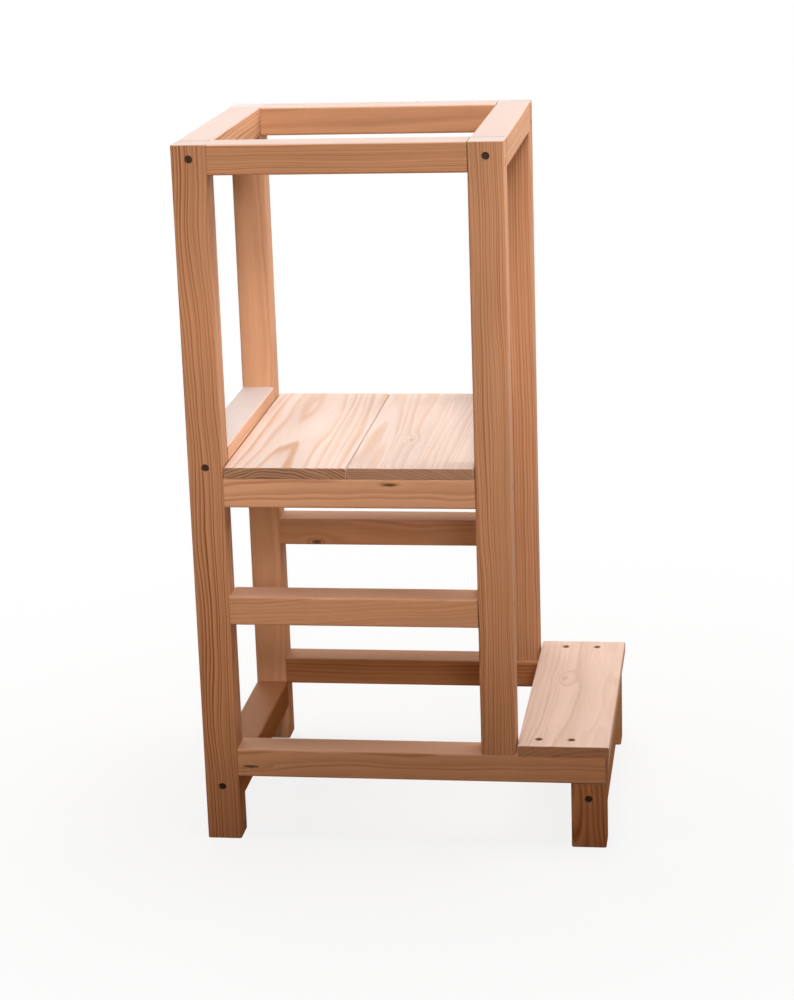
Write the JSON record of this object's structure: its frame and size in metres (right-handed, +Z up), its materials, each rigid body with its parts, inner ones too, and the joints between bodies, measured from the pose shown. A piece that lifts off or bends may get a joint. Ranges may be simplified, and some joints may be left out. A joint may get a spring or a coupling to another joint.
{
  "type": "toddler kitchen helper stool",
  "caption": "Screwed pine-lath tower with a waist-high standing platform, handrail frame, guard rail and a low entry step.",
  "frame": {"origin": "on the floor, under the middle of the stool's box", "axes": "+Z up; +X from the standing tower towards the low step; +Y from the front, the side in the picture, to the back"},
  "size_m": [0.53, 0.41, 0.915],
  "materials": {
    "pine_lath": "planed and eased, clear matt oil",
    "pine_board": "planed and eased, clear matt oil",
    "dark_screw": "dark bronzed"
  },
  "bodies": {
    "root": {"front_left_post": "pine_lath", "back_left_post": "pine_lath", "front_right_post": "pine_lath", "back_right_post": "pine_lath", "front_step_leg": "pine_lath", "back_step_leg": "pine_lath", "front_top_rail": "pine_lath", "back_top_rail": "pine_lath", "left_top_rail": "pine_lath", "right_top_rail": "pine_lath", "front_platform_rail": "pine_lath", "back_platform_rail": "pine_lath", "left_guard_rail": "pine_lath", "front_middle_rail": "pine_lath", "back_middle_rail": "pine_lath", "front_base_rail": "pine_lath", "back_base_rail": "pine_lath", "left_low_stretcher": "pine_lath", "right_low_stretcher": "pine_lath", "left_platform_board": "pine_board", "right_platform_board": "pine_board", "step_board": "pine_board", "side_rail_screws": "dark_screw", "cross_rail_screws": "dark_screw", "right_post_screws": "dark_screw", "step_leg_screws": "dark_screw", "platform_screws": "dark_screw", "step_board_screws": "dark_screw"}
  },
  "joints": []
}
